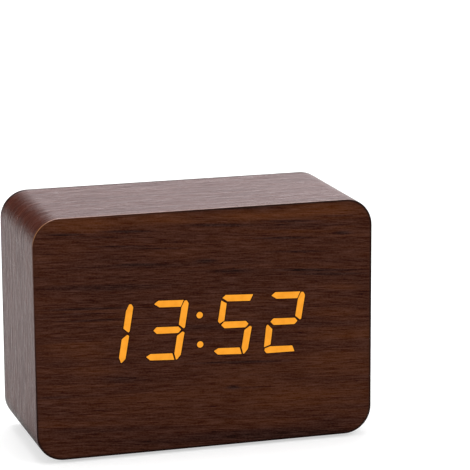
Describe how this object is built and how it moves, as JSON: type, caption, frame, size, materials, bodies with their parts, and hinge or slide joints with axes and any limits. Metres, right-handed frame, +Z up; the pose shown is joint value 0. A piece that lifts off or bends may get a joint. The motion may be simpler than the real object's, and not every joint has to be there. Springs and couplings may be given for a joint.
{
  "type": "wooden digital alarm clock",
  "caption": "Wood-grain block clock with rounded corners, digits shining through its face, rear push buttons, slide switch, power jack and a battery bay with a hinged door.",
  "frame": {"origin": "on the table under the middle of the clock", "axes": "+X to the right seen from the front, +Y to the rear, +Z up; the lit face looks towards -Y"},
  "size_m": [0.1, 0.043, 0.071],
  "materials": {
    "walnut_film": "satin",
    "raw_board": "matte",
    "black_rubber": "matte",
    "lit_orange": "matte",
    "white_plastic": "satin",
    "black_plastic": "fine texture",
    "black_resin": "matte",
    "black_board": "satin",
    "green_board": "satin",
    "steel": "plated",
    "dark_steel": "black oxide",
    "cell_sleeve": "gloss",
    "grey_insulation": "matte",
    "black_insulation": "satin",
    "red_insulation": "satin"
  },
  "bodies": {
    "root": {"case_body": "raw_board", "wrap_film": "walnut_film", "front_film": "walnut_film", "foot_rear_left": "black_rubber", "foot_rear_right": "black_rubber", "foot_front_left": "black_rubber", "foot_front_right": "black_rubber", "display_diffuser": "lit_orange", "display_reflector": "white_plastic", "display_board": "black_board", "display_screw_1": "steel", "display_screw_2": "steel", "display_screw_3": "steel", "display_screw_4": "steel", "clock_chip": "black_resin", "clock_crystal": "steel", "capacitor": "dark_steel", "coin_cell_holder": "black_plastic", "coin_cell": "steel", "rear_cover": "black_plastic", "cover_screw_1": "dark_steel", "cover_screw_2": "dark_steel", "cover_screw_3": "dark_steel", "cover_screw_4": "dark_steel", "battery_1": "cell_sleeve", "battery_2": "cell_sleeve", "battery_3": "cell_sleeve", "battery_spring_1": "steel", "battery_spring_2": "steel", "battery_spring_3": "steel", "contact_negative": "steel", "contact_bridge_left": "steel", "contact_bridge_right": "steel", "contact_positive": "steel", "key_board": "green_board", "button_set_switch": "dark_steel", "button_up_switch": "dark_steel", "button_down_switch": "dark_steel", "sound_switch_body": "steel", "power_jack": "black_plastic", "key_board_screw_1": "steel", "key_board_screw_2": "steel", "sounder": "black_resin", "microphone": "dark_steel", "display_connector": "white_plastic", "key_connector": "white_plastic", "ribbon_cable": "grey_insulation", "battery_lead_black": "black_insulation", "battery_lead_red": "red_insulation"},
    "battery_door": {"battery_door": "black_plastic"},
    "button_set": {"button_set_cap": "black_plastic", "button_set_plunger": "black_resin"},
    "button_up": {"button_up_cap": "black_plastic", "button_up_plunger": "black_resin"},
    "button_down": {"button_down_cap": "black_plastic", "button_down_plunger": "black_resin"},
    "sound_switch": {"sound_switch_knob": "black_plastic"}
  },
  "joints": [
    {"name": "battery_door_hinge", "type": "hinge", "parent": "root", "child": "battery_door", "pos_m": [0, 0.02, 0.01025], "axis": [-1, 0, 0], "range_deg": [0, 75]},
    {"name": "button_set_press", "type": "slide", "parent": "root", "child": "button_set", "axis": [0, -1, 0], "range_m": [0, 0.0005], "stiffness_N_per_m": 2000, "springref_m": -0.0001},
    {"name": "button_up_press", "type": "slide", "parent": "root", "child": "button_up", "axis": [0, -1, 0], "range_m": [0, 0.0005], "stiffness_N_per_m": 2000, "springref_m": -0.0001},
    {"name": "button_down_press", "type": "slide", "parent": "root", "child": "button_down", "axis": [0, -1, 0], "range_m": [0, 0.0005], "stiffness_N_per_m": 2000, "springref_m": -0.0001},
    {"name": "sound_switch_slide", "type": "slide", "parent": "root", "child": "sound_switch", "axis": [1, 0, 0], "range_m": [0, 0.002]}
  ]
}
